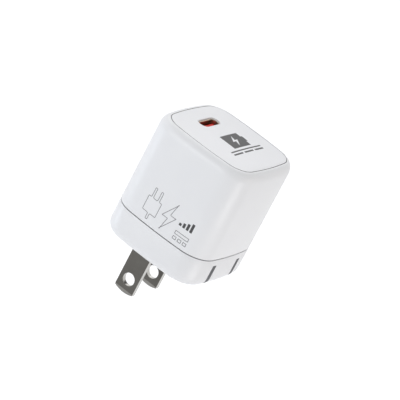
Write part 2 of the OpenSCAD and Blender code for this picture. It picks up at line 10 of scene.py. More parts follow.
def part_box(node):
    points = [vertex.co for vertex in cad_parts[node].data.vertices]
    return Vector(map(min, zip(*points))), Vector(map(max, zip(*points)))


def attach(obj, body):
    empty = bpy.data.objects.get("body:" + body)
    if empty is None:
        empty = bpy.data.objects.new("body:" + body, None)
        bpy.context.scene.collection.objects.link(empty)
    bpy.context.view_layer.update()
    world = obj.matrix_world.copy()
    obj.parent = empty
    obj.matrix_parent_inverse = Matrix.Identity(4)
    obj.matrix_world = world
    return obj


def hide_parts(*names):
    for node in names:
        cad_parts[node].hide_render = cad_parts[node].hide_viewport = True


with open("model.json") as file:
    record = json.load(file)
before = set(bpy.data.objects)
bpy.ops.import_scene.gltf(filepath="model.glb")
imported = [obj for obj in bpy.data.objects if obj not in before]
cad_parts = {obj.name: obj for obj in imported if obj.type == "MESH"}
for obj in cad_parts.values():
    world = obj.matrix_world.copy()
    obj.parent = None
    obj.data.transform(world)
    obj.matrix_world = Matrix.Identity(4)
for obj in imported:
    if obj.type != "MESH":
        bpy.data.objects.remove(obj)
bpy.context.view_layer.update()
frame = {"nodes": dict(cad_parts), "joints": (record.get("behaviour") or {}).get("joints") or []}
mm = 0.001
same = 1e-3     # lengths this near count as equal, in millimetres
facing = 0.9    # from this share of its normal on, a face counts as square to an axis


def boxMm(node):
    low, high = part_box(node)
    return low / mm, high / mm


def closeTo(a, b, gap=same):
    return abs(a - b) < gap


def spinChain(bm, start, turns, z, joinWithin=0.01):
    # draws a closed chain of arcs and straight runs from one vertex, and returns its edges
    before = set(bm.edges)
    vertex = bm.verts.new((start[0], start[1], z))
    for turn in turns:
        made = bmesh.ops.spin(bm, geom=[vertex], cent=(*turn.get("centre", (0, 0)), z), axis=(0, 0, 1),
                              angle=turn.get("angle", 0), dvec=(*turn.get("step", (0, 0)), 0),
                              steps=turn["steps"])
        vertex = made["geom_last"][0]
    drawn = [e for e in bm.edges if e not in before]
    corners = list({v for e in drawn for v in e.verts})
    bmesh.ops.remove_doubles(bm, verts=corners, dist=joinWithin)
    return [e for e in bm.edges if e not in before]


def bridgeLevels(bm, levels, closed=False, spread=5):
    # skins each level to the next one, and the last to the first where the ring is closed;
    # levels in one plane are held apart meanwhile, so that their points pair up straight
    skins = []
    following = levels[1:] + (levels[:1] if closed else [])
    for lower, upper in zip(levels, following):
        ring = list({v for e in upper for v in e.verts})
        apart = spread if closeTo(ring[0].co.z, lower[0].verts[0].co.z) else 0
        bmesh.ops.translate(bm, vec=(0, 0, apart), verts=ring)
        skins.append(bmesh.ops.bridge_loops(bm, edges=lower + upper)["faces"])
        bmesh.ops.translate(bm, vec=(0, 0, -apart), verts=ring)
    return skins


def roundEdges(bm, edges, radius, segments, stretch=(1, 1, 1)):
    # a round that is wider along one axis is an even one made while the mesh is squeezed
    bmesh.ops.scale(bm, vec=stretch, verts=bm.verts)
    bmesh.ops.bevel(bm, geom=[e for e in edges if e.is_valid], offset=radius, offset_type="OFFSET",
                    segments=segments, profile=0.5, affect="EDGES", clamp_overlap=False, material=-1)
    bmesh.ops.scale(bm, vec=[1 / s for s in stretch], verts=bm.verts)


def cutAcross(bm, point, normal):
    everything = bm.verts[:] + bm.edges[:] + bm.faces[:]
    bmesh.ops.bisect_plane(bm, geom=everything, plane_co=point, plane_no=normal)


def only(kind, geometry):
    return [g for g in geometry if isinstance(g, kind)]


def addBox(bm, low, high):
    size = [b - a for a, b in zip(low, high)]
    middle = [(a + b) / 2 for a, b in zip(low, high)]
    place = Matrix.Translation(middle) @ Matrix.Diagonal((*size, 1))
    return bmesh.ops.create_cube(bm, size=1, matrix=place)["verts"]


def addRod(bm, foot, radius, length, steps=32):
    place = Matrix.Translation((foot[0], foot[1], foot[2] + length / 2))
    bmesh.ops.create_cone(bm, cap_ends=True, segments=steps, radius1=radius, radius2=radius,
                          depth=length, matrix=place)


def smoothByAngle(bm, degrees=32):
    for face in bm.faces:
        face.smooth = True
    for edge in bm.edges:
        edge.smooth = len(edge.link_faces) == 2 and edge.calc_face_angle(0) < math.radians(degrees)


def makeObject(name, bm, finishes=()):
    bmesh.ops.recalc_face_normals(bm, faces=bm.faces)
    bm.transform(Matrix.Scale(mm, 4))
    mesh = bpy.data.meshes.new(name)
    bm.to_mesh(mesh)
    bm.free()
    for finish in finishes:
        mesh.materials.append(finish)
    made = bpy.data.objects.new(name, mesh)
    bpy.context.scene.collection.objects.link(made)
    return made


def settle(piece, body, slotName, *stoodFor):
    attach(piece, body)
    if stoodFor:
        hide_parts(*stoodFor)
    print("piece", piece.name, len(piece.data.polygons), "faces")
    return piece


def carve(piece, tool, operation="DIFFERENCE"):
    modifier = piece.modifiers.new("carve", "BOOLEAN")
    modifier.operation = operation
    modifier.object = tool
    modifier.solver = "EXACT"
    graph = bpy.context.evaluated_depsgraph_get()
    result = bpy.data.meshes.new_from_object(piece.evaluated_get(graph))
    piece.modifiers.clear()
    piece.data = result
    bpy.data.objects.remove(tool)


def hexColour(text):
    channels = [int(text[i:i + 2], 16) / 255 for i in (1, 3, 5)]
    return tuple(c / 12.92 if c <= 0.04045 else ((c + 0.055) / 1.055) ** 2.4 for c in channels) + (1.0,)


def addNode(tree, kind, settings=None, links=None):
    node = tree.nodes.new(kind)
    for name, value in (settings or {}).items():
        if isinstance(name, int) or name in node.inputs:
            node.inputs[name].default_value = value
        else:
            setattr(node, name, value)
    for name, socket in (links or {}).items():
        tree.links.new(socket, node.inputs[name])
    return node


def startMaterial(name, shaderSettings):
    material = bpy.data.materials.new(name)
    material.use_nodes = True
    tree = material.node_tree
    tree.nodes.clear()
    shader = addNode(tree, "ShaderNodeBsdfPrincipled", shaderSettings)
    addNode(tree, "ShaderNodeOutputMaterial", links={"Surface": shader.outputs["BSDF"]})
    place = addNode(tree, "ShaderNodeTexCoord").outputs["Object"]
    return material, tree, shader, place


def grainedMaterial(name, finish):
    # colour that drifts softly, roughness that varies a little, and a fine raised grain
    material, tree, shader, place = startMaterial(name, {
        "Metallic": finish.get("metallic", 0.0),
        "IOR": finish.get("ior", 1.5),      # a metal keeps this one
        "Coat Weight": finish.get("coat", 0.0),
        "Coat Roughness": 0.15,
    })
    stretch = addNode(tree, "ShaderNodeMapping", {"Scale": finish.get("stretch", (1, 1, 1))},
                      {"Vector": place})
    cloud = addNode(tree, "ShaderNodeTexNoise", {"Scale": 1 / (finish["cloudMm"] * mm), "Detail": 3.0},
                    {"Vector": place})
    grain = addNode(tree, "ShaderNodeTexNoise",
                    {"Scale": 1 / (finish["grainMm"] * mm), "Detail": 2.0, "Roughness": 0.6},
                    {"Vector": stretch.outputs["Vector"]})
    tone = addNode(tree, "ShaderNodeMix", {"data_type": "RGBA", 6: hexColour(finish["colour"]),
                                           7: hexColour(finish["shade"])}, {0: cloud.outputs["Fac"]})
    smoothest, roughest = finish["rough"]
    gloss = addNode(tree, "ShaderNodeMapRange", {"To Min": smoothest, "To Max": roughest},
                    {"Value": grain.outputs["Fac"]})
    bump = addNode(tree, "ShaderNodeBump", {"Strength": finish["bump"], "Distance": finish["depthMm"] * mm},
                   {"Height": grain.outputs["Fac"]})
    tree.links.new(tone.outputs[2], shader.inputs["Base Color"])
    tree.links.new(gloss.outputs["Result"], shader.inputs["Roughness"])
    tree.links.new(bump.outputs["Normal"], shader.inputs["Normal"])
    return material


finishes = {
    # white polycarbonate from a spark-eroded mould: satin, with a grain drawn a little coarse to show
    "whitePolycarbonate": dict(colour="#ECEDEF", shade="#E8E9EC", rough=(0.30, 0.38), ior=1.585,
                               cloudMm=9, grainMm=0.16, bump=0.12, depthMm=0.02),
    # the same polycarbonate moulded as the cover, with a finer grain; its shade lighter, bluer colour is
    # painted light on the top
    "paintedLightCoverPolycarbonate": dict(colour="#EEEFF2", shade="#E9EAEE", rough=(0.30, 0.36), ior=1.585,
                               cloudMm=8, grainMm=0.13, bump=0.10, depthMm=0.015),
    # painted shade in the blade slots: a duller grey on their walls than the white body, so that they read as
    # deep
    "paintedSlotShade": dict(colour="#AAABAE", shade="#A0A1A4", rough=(0.5, 0.62), ior=1.585,
                       cloudMm=4, grainMm=0.12, bump=0.2, depthMm=0.02),
    # painted shade on the walls of the narrow seams: matt and nearly black, so that they read as gaps
    "paintedSeamShade": dict(colour="#232427", shade="#1C1D20", rough=(0.7, 0.8), ior=1.5,
                      cloudMm=3, grainMm=0.1, bump=0.1, depthMm=0.01),
    # pad-printed ink: dark grey and matt, too thin to stand out from the surface
    "printInk": dict(colour="#3B3B3D", shade="#434345", rough=(0.45, 0.55), ior=1.5,
                     cloudMm=2, grainMm=0.08, bump=0.1, depthMm=0.005),
    # the same ink in thin lines, where it lies less dense
    "lineInk": dict(colour="#77777A", shade="#818184", rough=(0.45, 0.55), ior=1.5,
                    cloudMm=2, grainMm=0.08, bump=0.1, depthMm=0.005),
    # nickel plate over rolled brass: dark, with fine streaks along the blade
    "darkNickel": dict(colour="#62605C", shade="#595753", rough=(0.28, 0.42), metallic=1.0,
                       cloudMm=5, grainMm=0.12, bump=0.15, depthMm=0.01, stretch=(1, 1, 0.06)),
    # the same plate on the pressed bevel of a blade's tip: streaked across, and painted paler than the face
    # as a highlight
    "paintedHighlightBevelNickel": dict(colour="#8B8985", shade="#7D7B77", rough=(0.24, 0.36), metallic=1.0,
                        cloudMm=1.5, grainMm=0.1, bump=0.2, depthMm=0.01, stretch=(0.3, 1, 1)),
    # the same plate on the sheared edges of a blade, painted the brightest of the three as a highlight
    "paintedHighlightEdgeNickel": dict(colour="#C6C4C0", shade="#BAB8B4", rough=(0.22, 0.34), metallic=1.0,
                       cloudMm=3, grainMm=0.1, bump=0.15, depthMm=0.01, stretch=(1, 0.1, 1)),
    # glass-filled nylon: grey, matt, with short fibres at the surface
    "greyNylon": dict(colour="#C6C7C8", shade="#BABBBD", rough=(0.5, 0.65), ior=1.53,
                      cloudMm=3, grainMm=0.2, bump=0.3, depthMm=0.02, stretch=(1, 0.3, 1)),
    # zinc-plated screw steel, bluish and slightly dull
    "screwSteel": dict(colour="#BFC3C8", shade="#AEB2B8", rough=(0.25, 0.4), metallic=1.0,
                       cloudMm=1, grainMm=0.08, bump=0.15, depthMm=0.008),
    # rolled phosphor bronze strip: golden brown, with streaks along the roll
    "springBronze": dict(colour="#C99A63", shade="#B98850", rough=(0.25, 0.38), metallic=1.0,
                         cloudMm=2, grainMm=0.07, bump=0.15, depthMm=0.006, stretch=(0.15, 1, 1)),
    # drawn steel shell under a thin nickel flash, bright and warm
    "portSteel": dict(colour="#D3C2AC", shade="#C6B49D", rough=(0.24, 0.34), metallic=1.0,
                      cloudMm=2, grainMm=0.08, bump=0.12, depthMm=0.006, stretch=(1, 1, 0.15)),
    # orange-red liquid crystal polymer, deep in colour and only faintly glossy
    "orangePlastic": dict(colour="#DE2410", shade="#D01E0C", rough=(0.5, 0.6), ior=1.35,
                          cloudMm=2, grainMm=0.1, bump=0.1, depthMm=0.008),
    # gold flash over nickel: warm, and the smoothest metal here
    "contactGold": dict(colour="#E3B45A", shade="#D6A54B", rough=(0.18, 0.28), metallic=1.0,
                        cloudMm=1, grainMm=0.06, bump=0.1, depthMm=0.004),
    # black moulded epoxy and nylon: satin, and nearly even
    "blackPlastic": dict(colour="#1B1B1D", shade="#232325", rough=(0.4, 0.55), ior=1.55,
                         cloudMm=2, grainMm=0.1, bump=0.2, depthMm=0.01),
    # green solder mask over glass cloth, whose weave shows faintly
    "boardLaminate": dict(colour="#1F6B45", shade="#185A39", rough=(0.28, 0.42), ior=1.5, coat=0.4,
                          cloudMm=4, grainMm=0.4, bump=0.25, depthMm=0.01),
    # pressed and sintered ferrite: charcoal and granular
    "ferrite": dict(colour="#3A3B3D", shade="#2E2F31", rough=(0.6, 0.8), ior=1.6,
                    cloudMm=2, grainMm=0.15, bump=0.4, depthMm=0.02),
    # enamelled copper wire, wound in fine turns
    "copperWire": dict(colour="#B5602E", shade="#9C4E22", rough=(0.22, 0.35), metallic=1.0,
                       cloudMm=2, grainMm=0.2, bump=0.5, depthMm=0.03, stretch=(0.05, 0.05, 1)),
    # yellow polyester tape, thin and shiny
    "yellowTape": dict(colour="#E2B81E", shade="#D3A814", rough=(0.2, 0.32), ior=1.6, coat=0.5,
                       cloudMm=3, grainMm=0.5, bump=0.2, depthMm=0.02),
    # dark sleeve shrunk over an aluminium can: smooth, with a soft shine
    "capacitorCan": dict(colour="#22262F", shade="#2B303B", rough=(0.28, 0.4), ior=1.5, coat=0.4,
                         cloudMm=4, grainMm=0.3, bump=0.15, depthMm=0.02),
    # blue dipped ceramic disc: a thick, slightly uneven coat with a waxy shine
    "discCeramic": dict(colour="#2F6EB5", shade="#285F9F", rough=(0.3, 0.45), ior=1.55, coat=0.3,
                        cloudMm=2, grainMm=0.4, bump=0.3, depthMm=0.03),
    # glazed ceramic of the fuse: sand-coloured, with a soft shine
    "fuseCeramic": dict(colour="#C9B08A", shade="#BDA27A", rough=(0.3, 0.42), ior=1.55,
                        cloudMm=2, grainMm=0.2, bump=0.2, depthMm=0.02),
    # rolled aluminium sheet: pale and bright, with fine streaks along the roll
    "spreaderAluminium": dict(colour="#C8CACD", shade="#BCBEC2", rough=(0.28, 0.42), metallic=1.0,
                              cloudMm=4, grainMm=0.1, bump=0.2, depthMm=0.01, stretch=(1, 0.06, 1)),
    # soft silicone pad: blue-grey and dull
    "padSilicone": dict(colour="#9AA7B3", shade="#8D9AA7", rough=(0.5, 0.62), ior=1.43,
                        cloudMm=2, grainMm=0.3, bump=0.3, depthMm=0.03),
    # amber polyester sheet: thin and glossy
    "insulationFilm": dict(colour="#D8A24A", shade="#CB943C", rough=(0.2, 0.3), ior=1.6, coat=0.3,
                           cloudMm=4, grainMm=0.5, bump=0.1, depthMm=0.02),
    # fired ceramic of chip parts: brown and dull
    "chipCeramic": dict(colour="#8C7458", shade="#7C664C", rough=(0.4, 0.55), ior=1.6,
                        cloudMm=1, grainMm=0.1, bump=0.2, depthMm=0.01),
}
looks = {name: grainedMaterial(name, finish) for name, finish in finishes.items()}
print("materials", len(looks))

cadLooks = {
    "greyNylon": ["blade_rotor", "rotor_retainer"],
    "screwSteel": ["retainer_screws"],
    "springBronze": ["contact_spring_front", "contact_spring_rear"],
    "portSteel": ["usb_shell"],
    "orangePlastic": ["usb_tongue"],
    "contactGold": ["usb_contacts"],
    "blackPlastic": ["usb_insulator", "bridge_rectifier", "power_switch", "sync_rectifier", "pd_controller",
                     "optocoupler", "transformer_bobbin"],
    "boardLaminate": ["main_board", "secondary_board"],
    "ferrite": ["transformer_core_lower", "transformer_core_upper", "choke_core"],
    "copperWire": ["transformer_primary", "transformer_secondary", "choke_windings"],
    "yellowTape": ["transformer_tape"],
    "capacitorCan": ["bulk_capacitor_1", "bulk_capacitor_2", "output_capacitors"],
    "discCeramic": ["y_capacitor"],
    "fuseCeramic": ["fuse"],
    "spreaderAluminium": ["heat_spreader"],
    "padSilicone": ["thermal_pad"],
    "insulationFilm": ["insulation_sheet"],
    "chipCeramic": ["chip_resistors", "chip_capacitors"],
}
for look, nodes in cadLooks.items():
    for node in nodes:
        for materialSlot in frame["nodes"][node].material_slots:
            materialSlot.material = looks[look]


housingLow, housingHigh = boxMm("housing")
coverTop = boxMm("top_plate")[1].z
shell = dict(
    halfX=housingHigh.x, halfY=housingHigh.y, cornerRadius=7.6, crown=0.37, wall=1.6,
    seamZ=housingLow.z, rimZ=housingHigh.z,
    sideSteps=12, cornerSteps=14,       # on each of the four sides and four corners
)


def outline(bm, inset, z):
    # the body's outline: corner arcs, and bowed sides that run into them without a kink
    ax = shell["halfX"] - shell["cornerRadius"] - shell["crown"]
    by = shell["halfY"] - shell["cornerRadius"] - shell["crown"]
    crown = shell["crown"]
    radius = shell["cornerRadius"] - inset
    bowX = (by * by + crown * crown) / (2 * crown)
    bowY = (ax * ax + crown * crown) / (2 * crown)
    tiltX = math.asin(by / bowX)
    tiltY = math.asin(ax / bowY)
    sideX = ax + crown - bowX
    sideY = by + crown - bowY
    corner = math.pi / 2 - tiltX - tiltY
    turns = []
    for centreSide, tilt, centreCorner in (
        ((sideX, 0), tiltX, (ax, by)), ((0, sideY), tiltY, (-ax, by)),
        ((-sideX, 0), tiltX, (-ax, -by)), ((0, -sideY), tiltY, (ax, -by)),
    ):
        turns.append(dict(centre=centreSide, angle=2 * tilt, steps=shell["sideSteps"]))
        turns.append(dict(centre=centreCorner, angle=corner, steps=shell["cornerSteps"]))
    reach = bowX + radius
    return spinChain(bm, (sideX + reach * math.cos(tiltX), -reach * math.sin(tiltX)), turns, z)


housing = dict(edgeWidth=2.05, edgeHeight=3.07, edgeSteps=10, plateDeep=1.5,
               land=0.08,      # the flat that the round leaves beside the cover
               ledgeWidth=1.35, ledgeDeep=1.35, seamGap=0.27, seamDeep=0.7, softEdge=0.06, softSteps=2)


def buildHousing():
    h = housing
    bm = bmesh.new()
    seat = shell["rimZ"] - h["plateDeep"]
    ledgeIn = h["edgeWidth"] + h["ledgeWidth"]
    corners = [
        (0, shell["seamZ"] + h["seamGap"]), (0, shell["rimZ"]),
        (h["edgeWidth"], shell["rimZ"]), (h["edgeWidth"], seat),
        (ledgeIn, seat), (ledgeIn, seat - h["ledgeDeep"]),
        (shell["wall"], seat - h["ledgeDeep"]), (shell["wall"], shell["seamZ"]),
        (h["seamDeep"], shell["seamZ"]), (h["seamDeep"], shell["seamZ"] + h["seamGap"]),
    ]
    levels = [outline(bm, inset, z) for inset, z in corners]
    skins = bridgeLevels(bm, levels, closed=True)
    for face in skins[2] + skins[8] + skins[9]:
        face.material_index = 1     # painted shade: the walls of the seams round the cover and above the base are made nearly black
    width = h["edgeWidth"] - h["land"]
    roundEdges(bm, levels[1], width, h["edgeSteps"], (1, 1, width / h["edgeHeight"]))
    roundEdges(bm, levels[2], h["softEdge"], h["softSteps"])
    roundEdges(bm, levels[0], h["softEdge"], h["softSteps"])
    smoothByAngle(bm)
    return makeObject("housing_shell", bm, (looks["whitePolycarbonate"], looks["paintedSeamShade"]))


housingShell = settle(buildHousing(), "charger", "white_polycarbonate", "housing")

shellLow, shellHigh = boxMm("usb_shell")
cover = dict(gap=0.1, rise=coverTop - shell["rimZ"], rings=16, softEdge=0.1, softSteps=3,
             portX=(shellLow.x + shellHigh.x) / 2, portLong=9.1, portShort=3.4,
             portRound=0.14, portSteps=4, collarWall=0.8, collarDeep=1.6,
             hookWide=4, hookThick=0.9, hookShort=0.01,
             barbHigh=0.9, barbReach=0.5, barbRoot=0.2, barbNose=0.1)


def stadium(bm, longSide, shortSide, z):
    # the port's outline, with as many points as the body's, so that the two can be skinned
    ends = 2 * shell["cornerSteps"] + shell["sideSteps"]
    sides = shell["sideSteps"]
    half = (longSide - shortSide) / 2
    x = cover["portX"]
    turns = [
        dict(step=(0, 2 * half / sides), steps=sides), dict(centre=(x, half), angle=math.pi, steps=ends),
        dict(step=(0, -2 * half / sides), steps=sides), dict(centre=(x, -half), angle=math.pi, steps=ends),
    ]
    return spinChain(bm, (x + shortSide / 2, -half), turns, z)


def domeHeight(x, y):
    reach = housing["edgeWidth"] + cover["gap"]
    u = min(1, abs(x) / (shell["halfX"] - reach))
    v = min(1, abs(y) / (shell["halfY"] - reach))
    return cover["rise"] * (1 - u * u) * (1 - v * v)


def addHooks(bm, seat):
    # one snap hook for each side, whose wedge-shaped barb catches under the housing's ledge
    c = cover
    ledge = seat - housing["ledgeDeep"]
    side = c["hookWide"] / 2
    bottom = ledge - c["barbHigh"]
    barbTop = ledge - c["gap"]
    for quarter, half in enumerate((shell["halfX"], shell["halfY"]) * 2):
        outside = half - housing["edgeWidth"] - housing["ledgeWidth"] - c["gap"]
        hook = addBox(bm, (outside - c["hookThick"], -side, bottom), (outside, side, seat - c["hookShort"]))
        barb = addBox(bm, (outside - c["barbRoot"], -side, bottom),
                      (outside + c["gap"] + c["barbReach"], side, barbTop))
        for vertex in barb:
            if vertex.co.x > outside and vertex.co.z < barbTop - c["barbNose"]:
                vertex.co.x = outside
        turn = Matrix.Rotation(quarter * math.pi / 2, 3, "Z")
        bmesh.ops.rotate(bm, cent=(0, 0, 0), matrix=turn, verts=hook + barb)


def buildCover():
    c = cover
    bm = bmesh.new()
    seat = shell["rimZ"] - housing["plateDeep"]
    inset = housing["edgeWidth"] + c["gap"]
    top = shell["rimZ"]
    outerLong = c["portLong"] + 2 * c["collarWall"]
    outerShort = c["portShort"] + 2 * c["collarWall"]
    levels = [
        outline(bm, inset, top),
        stadium(bm, c["portLong"], c["portShort"], top),
        stadium(bm, c["portLong"], c["portShort"], seat - c["collarDeep"]),
        stadium(bm, outerLong, outerShort, seat - c["collarDeep"]),
        stadium(bm, outerLong, outerShort, seat),
        outline(bm, inset, seat),
    ]
    skins = bridgeLevels(bm, levels, closed=True)
    for face in skins[-1]:
        face.material_index = 1     # painted shade: the cover's own wall of the seam is made nearly black
    rimLoops = set(levels[0]) | set(levels[1])
    spokes = list({e for f in skins[0] for e in f.edges if e not in rimLoops})
    bmesh.ops.subdivide_edges(bm, edges=spokes, cuts=c["rings"], use_grid_fill=True)
    for vertex in bm.verts:
        if closeTo(vertex.co.z, top):
            vertex.co.z = top + domeHeight(vertex.co.x, vertex.co.y)
    roundEdges(bm, levels[1], c["portRound"], c["portSteps"])
    roundEdges(bm, levels[0], c["softEdge"], c["softSteps"])
    addHooks(bm, seat)
    smoothByAngle(bm)
    # the cover's first finish is a lighter copy of the body's polycarbonate, painted light on the top
    return makeObject("top_cover", bm, (looks["paintedLightCoverPolycarbonate"], looks["paintedSeamShade"]))


topCover = settle(buildCover(), "charger", "white_polycarbonate", "top_plate")

bladeLow, bladeHigh = boxMm("plug_blade_front")
pivot = Vector(frame["joints"][0]["pos_m"]) / mm
bladeWide = bladeHigh.x - bladeLow.x
bladeThick = bladeHigh.y - bladeLow.y
bladeY = abs(bladeLow.y + bladeHigh.y) / 2
base = dict(roundRadius=2.84, roundSteps=12, floor=1.6, lipGap=0.1, lipThick=0.8, lipHigh=2.0,
            softEdge=0.06, softSteps=2, slotGap=0.12, foldGap=0.325, rootGap=0.25, pocketWall=0.8,
            bearingRadius=2.06, bearingLong=18.6, bearingSteps=48, blockHalfY=10.1,
            postRadius=1.5, postY=11.3, postTop=5.0, boardPostRadius=1.6, boardPostIn=6.4,
            overlap=0.4, cutPast=1)     # how far added solids sink in, and cutters reach out


def buildBase():
    b = base
    wall = shell["wall"]
    seam = shell["seamZ"]
    lipOut = wall + b["lipGap"]
    lipIn = lipOut + b["lipThick"]
    bm = bmesh.new()
    corners = [
        (0, 0), (0, seam), (lipOut, seam), (lipOut, seam + b["lipHigh"]), (lipIn, seam + b["lipHigh"]),
        (lipIn, seam - b["lipThick"]), (wall, seam - lipIn), (wall, b["roundRadius"]),
        (b["roundRadius"], b["floor"]),
    ]
    levels = [outline(bm, inset, z) for inset, z in corners]
    bridgeLevels(bm, levels)
    for end in (levels[0], levels[-1]):
        bmesh.ops.contextual_create(bm, geom=end)
    roundEdges(bm, levels[0], b["roundRadius"], b["roundSteps"])
    roundEdges(bm, levels[1], b["softEdge"], b["softSteps"])
    # the second finish is painted shade for the walls of the blade slots
    piece = makeObject("base_shell", bm, (looks["whitePolycarbonate"], looks["paintedSlotShade"]))

    slotHalf = bladeThick / 2 + b["slotGap"]
    slotTop = pivot.z + bladeWide / 2 + b["foldGap"]
    slotStart = pivot.x - bladeWide / 2 - b["rootGap"]
    pocketTop = slotTop + b["pocketWall"]
    blockEnd = pivot.x + bladeWide / 2 + b["rootGap"] + b["overlap"]
    sunk = b["floor"] - b["overlap"]
    bm = bmesh.new()
    addBox(bm, (slotStart - b["pocketWall"], -b["blockHalfY"], sunk), (blockEnd, b["blockHalfY"], pivot.z))
    carve(piece, makeObject("block", bm), "UNION")
    bm = bmesh.new()
    for side in (-1, 1):
        middle = side * bladeY
        addBox(bm, (blockEnd - b["overlap"], middle - slotHalf - b["pocketWall"], sunk),
               (shell["halfX"] - wall + b["overlap"], middle + slotHalf + b["pocketWall"], pocketTop))
    carve(piece, makeObject("pockets", bm), "UNION")
    bm = bmesh.new()
    postX, postY = shell["halfX"] - b["boardPostIn"], shell["halfY"] - b["boardPostIn"]
    boardZ = boxMm("main_board")[0].z
    for side in (-1, 1):
        addRod(bm, (pivot.x, side * b["postY"], sunk), b["postRadius"], b["postTop"] - sunk)
        for x in (-1, 1):
            addRod(bm, (x * postX, side * postY, sunk), b["boardPostRadius"], boardZ - sunk)
    carve(piece, makeObject("posts", bm), "UNION")
    bm = bmesh.new()
    for side in (-1, 1):
        middle = side * bladeY
        addBox(bm, (slotStart, middle - slotHalf, -b["cutPast"]),
               (shell["halfX"] + b["cutPast"], middle + slotHalf, slotTop))
    carve(piece, makeObject("slots", bm))
    bm = bmesh.new()
    place = Matrix.Translation(pivot) @ Matrix.Rotation(math.pi / 2, 4, "X")
    bmesh.ops.create_cone(bm, cap_ends=True, segments=b["bearingSteps"], radius1=b["bearingRadius"],
                          radius2=b["bearingRadius"], depth=b["bearingLong"], matrix=place)
    carve(piece, makeObject("bearing", bm))

    bm = bmesh.new()
    bm.from_mesh(piece.data)
    bm.transform(Matrix.Scale(1 / mm, 4))
    bmesh.ops.remove_doubles(bm, verts=bm.verts, dist=same)
    nearby = 0.02
    # painted shade: the slots' side walls, roof and end take the darker grey, so that they read as deep
    for face in bm.faces:
        middle = face.calc_center_median()
        normal = face.normal
        away = abs(abs(middle.y) - bladeY)
        side = closeTo(away, slotHalf, nearby) and abs(normal.y) > facing and middle.z < slotTop
        roof = away < slotHalf and closeTo(middle.z, slotTop, nearby) and normal.z < -facing
        end = away < slotHalf and closeTo(middle.x, slotStart, nearby) and normal.x > facing
        face.material_index = 1 if side or roof or end else 0
    smoothByAngle(bm)
    bm.transform(Matrix.Scale(mm, 4))
    piece.data.materials.clear()
    piece.data.materials.append(looks["whitePolycarbonate"])
    piece.data.materials.append(looks["paintedSlotShade"])
    bm.to_mesh(piece.data)
    bm.free()
    return piece


settle(buildBase(), "charger", "white_polycarbonate", "base_cap")


blade = dict(tipSag=0.8, tipBevel=1.2, tipBevelDeep=0.4, holeRadius=1.9, holeFromTip=4.45,
             neck=2.64,     # the square hole for the rotor, across its flats
             rootSteps=32, tipSteps=20, sideSteps=8, holeSteps=48, softEdge=0.06, softSteps=3,
             flatWithin=0.5, smoothTo=12)       # in degrees


def buildBlade(name, y):
    d = blade
    half = bladeWide / 2
    tipRadius = (half * half + d["tipSag"] ** 2) / (2 * d["tipSag"])
    tipMiddle = bladeLow.z + tipRadius
    swing = math.asin(half / tipRadius)
    shoulder = bladeLow.z + d["tipSag"]
    holeZ = bladeLow.z + d["holeFromTip"]
    bm = bmesh.new()
    # drawn flat with the blade's length along the second axis, then stood up
    rise = (pivot.z - shoulder) / d["sideSteps"]
    turns = [
        dict(step=(0, rise), steps=d["sideSteps"]),
        dict(centre=(0, pivot.z), angle=math.pi, steps=d["rootSteps"]),
        dict(step=(0, -rise), steps=d["sideSteps"]),
        dict(centre=(0, tipMiddle), angle=2 * swing, steps=d["tipSteps"]),
    ]
    edges = spinChain(bm, (half, shoulder), turns, 0)
    for radius, steps, z, turn in ((d["holeRadius"], d["holeSteps"], holeZ, 0),
                                   (d["neck"] / math.sqrt(2), 4, pivot.z, math.pi / 4)):
        place = Matrix.Translation((0, z, 0)) @ Matrix.Rotation(turn, 4, "Z")
        made = bmesh.ops.create_circle(bm, segments=steps, radius=radius, matrix=place)["verts"]
        edges += list({e for v in made for e in v.link_edges})
    filled = bmesh.ops.triangle_fill(bm, use_beauty=True, use_dissolve=False, edges=edges)["geom"]
    faces = only(bmesh.types.BMFace, filled)
    made = bmesh.ops.extrude_face_region(bm, geom=faces, use_keep_orig=True)["geom"]
    bmesh.ops.translate(bm, vec=(0, 0, bladeThick), verts=only(bmesh.types.BMVert, made))
    bmesh.ops.recalc_face_normals(bm, faces=bm.faces)
    bmesh.ops.dissolve_limit(bm, angle_limit=math.radians(d["flatWithin"]), verts=bm.verts, edges=bm.edges,
                             use_dissolve_boundaries=False)
    stand = Matrix.Translation((pivot.x, y + bladeThick / 2, 0)) @ Matrix.Rotation(math.pi / 2, 4, "X")
    bm.transform(stand)

    # cut level through both holes, so that no face runs round one; below the lowest cut the blade
    # thins evenly towards its tip
    bevelZ = bladeLow.z + d["tipBevel"]
    for z in (pivot.z, holeZ, bevelZ):
        cutAcross(bm, (0, 0, z), (0, 0, 1))
    for vertex in bm.verts:
        thinned = max(0, bevelZ - vertex.co.z) / d["tipBevel"] * d["tipBevelDeep"]
        vertex.co.y += math.copysign(thinned, y - vertex.co.y)
    bm.normal_update()
    wallUpTo, bevelUpTo = 0.5, 0.98     # how far a normal runs through the blade, on a wall and on a bevel
    rims = []
    for edge in bm.edges:
        through = sorted(abs(face.normal.y) for face in edge.link_faces)
        if len(through) == 2 and through[0] < wallUpTo and through[1] > facing:
            rims.append(edge)
    roundEdges(bm, rims, d["softEdge"], d["softSteps"])
    bm.normal_update()
    # painted highlights: the tip's bevel and the edges take paler copies of the face's plate
    for face in bm.faces:
        through, sideways = abs(face.normal.y), abs(face.normal.x)
        onBevel = face.calc_center_median().z < bevelZ and through < bevelUpTo and sideways < facing
        face.material_index = 2 if onBevel else 0 if through > wallUpTo else 1
    smoothByAngle(bm, d["smoothTo"])
    return makeObject(name, bm, (looks["darkNickel"], looks["paintedHighlightEdgeNickel"], looks["paintedHighlightBevelNickel"]))


settle(buildBlade("blade_front", -bladeY), "plug", "dark_nickel", "plug_blade_front")
settle(buildBlade("blade_rear", bladeY), "plug", "dark_nickel", "plug_blade_rear")


mark = dict(stroke=0.17, proud=0.015, sunk=0.02, tile=1.0, soft=0.25, fineSoft=0.12, softSteps=4,
            frontReach=(0, -30, 0), topReach=(0, 0, 60))    # where the rays that find the surface start
